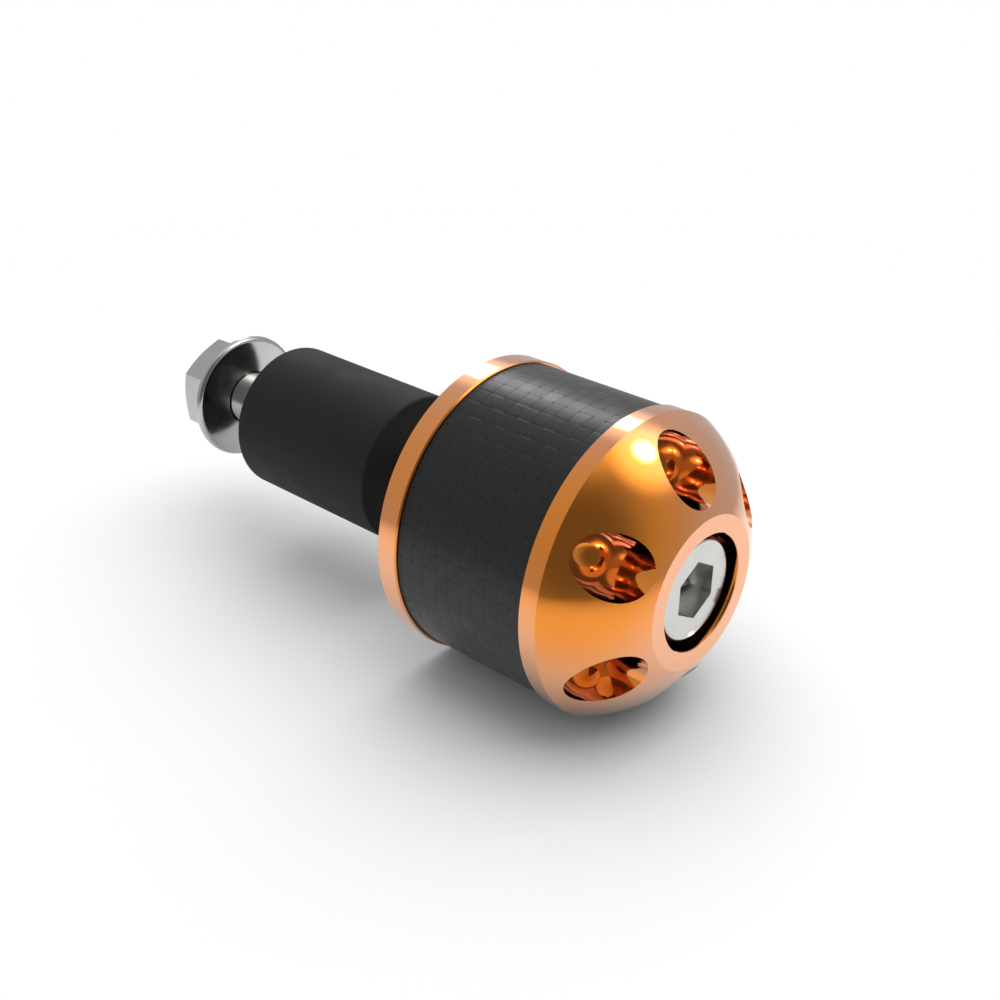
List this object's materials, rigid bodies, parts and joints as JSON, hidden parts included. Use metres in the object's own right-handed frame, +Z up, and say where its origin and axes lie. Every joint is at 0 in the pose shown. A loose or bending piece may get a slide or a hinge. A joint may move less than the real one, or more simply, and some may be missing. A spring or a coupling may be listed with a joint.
{
  "type": "bar end weight",
  "caption": "Round bar end weight: drilled metal dome and woven sleeve on a long screw that draws a flange nut against a rubber plug to grip inside a handlebar.",
  "frame": {"origin": "centre of the rear flange's back face, which seats on the end of the handlebar", "axes": "+X along the screw, from the handlebar out to the dome; +Z up, through the top pocket of the dome"},
  "size_m": [0.0717, 0.03, 0.03],
  "materials": {
    "anodised_head": "gold anodised, polished satin",
    "woven_sleeve": "woven carbon fibre under clear lacquer",
    "screw_steel": "satin stainless steel",
    "black_rubber": "matte",
    "nut_steel": "bright stainless steel"
  },
  "bodies": {
    "head": {"dome": "anodised_head", "sleeve": "woven_sleeve", "flange": "anodised_head"},
    "screw": {"screw": "screw_steel"},
    "expander": {"expander": "black_rubber"},
    "nut": {"flange_nut": "nut_steel"}
  },
  "joints": [
    {"name": "screw_turn", "type": "hinge", "parent": "head", "child": "screw", "pos_m": [0.0256, 0, 0], "axis": [-1, 0, 0], "range_deg": [0, 7020]},
    {"name": "nut_draw", "type": "slide", "parent": "head", "child": "nut", "axis": [1, 0, 0], "range_m": [0, 0.0196], "deforming": ["expander"]},
    {"name": "expander_push", "type": "slide", "parent": "head", "child": "expander", "axis": [1, 0, 0], "range_m": [0, 0.0096]}
  ],
  "couplings": [
    {"joint": "nut_draw", "follows": "screw_turn", "m_per_rad": 0.00015915},
    {"joint": "expander_push", "follows": "screw_turn", "m_per_rad": 0.000077537}
  ]
}
